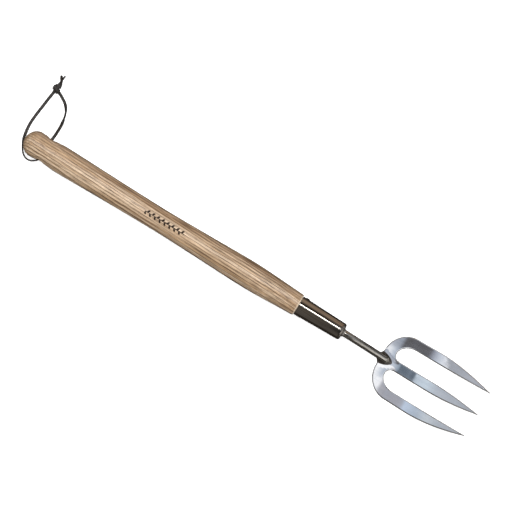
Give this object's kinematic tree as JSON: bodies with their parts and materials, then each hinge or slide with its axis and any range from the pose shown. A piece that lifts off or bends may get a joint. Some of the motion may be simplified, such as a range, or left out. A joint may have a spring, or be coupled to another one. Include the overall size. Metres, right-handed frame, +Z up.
{
  "type": "long-handled garden hand fork",
  "caption": "Long-handled hand fork with a turned ash handle, a pinned steel socket, a round neck rod, a curved mirror-polished tined head and a leather hanging cord.",
  "frame": {"origin": "middle of the fork's length and width, on the surface that it lies on", "axes": "+X along the handle from the butt to the tine tips, +Z up from the surface, with the tines curving up, +Y to the side that the hanging cord lies on"},
  "size_m": [0.6047, 0.1227, 0.0314],
  "materials": {
    "ash_wood": "satin, lengthwise open grain",
    "dark_polished_steel": "dark polish with a warm tone",
    "rivet_steel": "dull, slightly darkened",
    "weld_steel": "ground and darkened by heat",
    "neck_steel": "satin polish",
    "mirror_steel": "mirror polish",
    "dark_leather": "waxed dark brown lace"
  },
  "bodies": {
    "fork": {"handle": "ash_wood", "socket": "dark_polished_steel", "socket_rivet": "rivet_steel", "socket_weld": "weld_steel", "neck_rod": "neck_steel", "fork_head": "mirror_steel", "head_weld": "weld_steel"},
    "cord": {"hanging_cord": "dark_leather", "cord_knot": "dark_leather"}
  },
  "joints": [
    {"name": "cord_swing", "type": "hinge", "parent": "fork", "child": "cord", "pos_m": [-0.2731, 0, 0.0157], "axis": [0, 1, 0], "range_deg": [-110, 150]}
  ]
}
